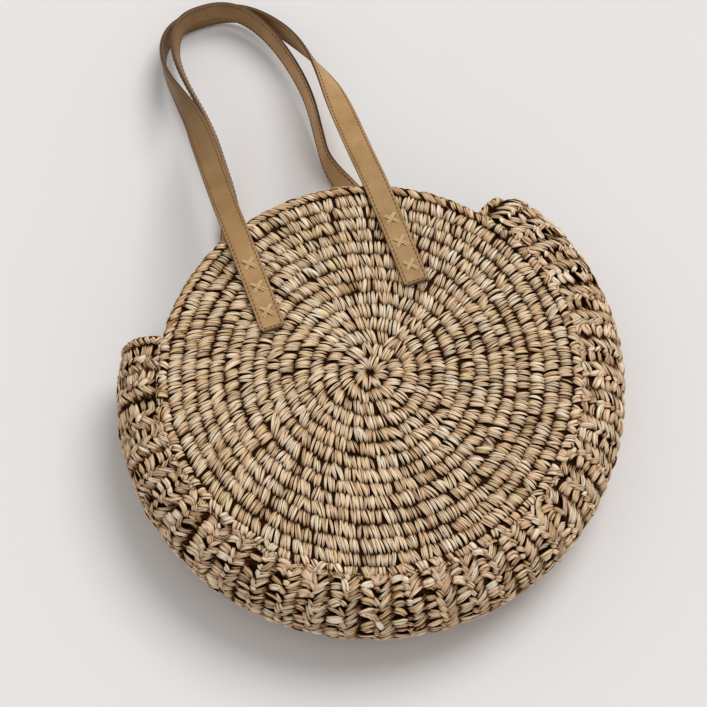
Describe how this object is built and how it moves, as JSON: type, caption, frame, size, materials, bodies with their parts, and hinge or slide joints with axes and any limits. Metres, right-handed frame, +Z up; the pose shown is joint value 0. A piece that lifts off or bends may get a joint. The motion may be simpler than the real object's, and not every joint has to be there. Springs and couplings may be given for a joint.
{
  "type": "circle bag",
  "caption": "Round crocheted straw bag lying on its back, with a bulging side strip, an open mouth, a lining with a magnetic snap, and leather strap handles that swing.",
  "frame": {"origin": "middle of the back panel's flat resting face, on the surface that the bag lies on", "axes": "+Z up, out of the front panel; +Y towards the mouth and the handles; +X to the right in the front view"},
  "size_m": [0.3999, 0.597, 0.1001],
  "materials": {
    "straw_panel": "matte",
    "straw_gusset": "matte",
    "straw_edging": "matte",
    "lining_cotton": "matte",
    "leather_face": "satin",
    "leather_backing": "matte",
    "edge_thread": "matte",
    "cross_thread": "matte",
    "snap_metal": "satin"
  },
  "bodies": {
    "bag": {"back_joining_round": "straw_edging", "back_left_cross_stitches": "cross_thread", "back_left_tab_backing": "leather_backing", "back_left_tab_face": "leather_face", "back_left_tab_stitching": "edge_thread", "back_mouth_edging": "straw_edging", "back_panel": "straw_panel", "back_right_cross_stitches": "cross_thread", "back_right_tab_backing": "leather_backing", "back_right_tab_face": "leather_face", "back_right_tab_stitching": "edge_thread", "front_joining_round": "straw_edging", "front_left_cross_stitches": "cross_thread", "front_left_tab_backing": "leather_backing", "front_left_tab_face": "leather_face", "front_left_tab_stitching": "edge_thread", "front_mouth_edging": "straw_edging", "front_panel": "straw_panel", "front_right_cross_stitches": "cross_thread", "front_right_tab_backing": "leather_backing", "front_right_tab_face": "leather_face", "front_right_tab_stitching": "edge_thread", "left_gusset_edging": "straw_edging", "lining_back": "lining_cotton", "lining_front": "lining_cotton", "lining_side": "lining_cotton", "right_gusset_edging": "straw_edging", "side_gusset": "straw_gusset", "slip_pocket": "lining_cotton", "snap_socket": "snap_metal", "snap_socket_plate": "snap_metal", "snap_stud": "snap_metal", "snap_stud_plate": "snap_metal"},
    "front_handle": {"front_loop_backing": "leather_backing", "front_loop_face": "leather_face", "front_loop_stitching": "edge_thread"},
    "back_handle": {"back_loop_backing": "leather_backing", "back_loop_face": "leather_face", "back_loop_stitching": "edge_thread"}
  },
  "joints": [
    {"name": "front_handle_swing", "type": "hinge", "parent": "bag", "child": "front_handle", "pos_m": [0, 0.1578, 0.0945], "axis": [1, 0, 0], "range_deg": [0, 190]},
    {"name": "back_handle_swing", "type": "hinge", "parent": "bag", "child": "back_handle", "pos_m": [0, 0.159, 0.004], "axis": [1, 0, 0], "range_deg": [0, 75]}
  ]
}
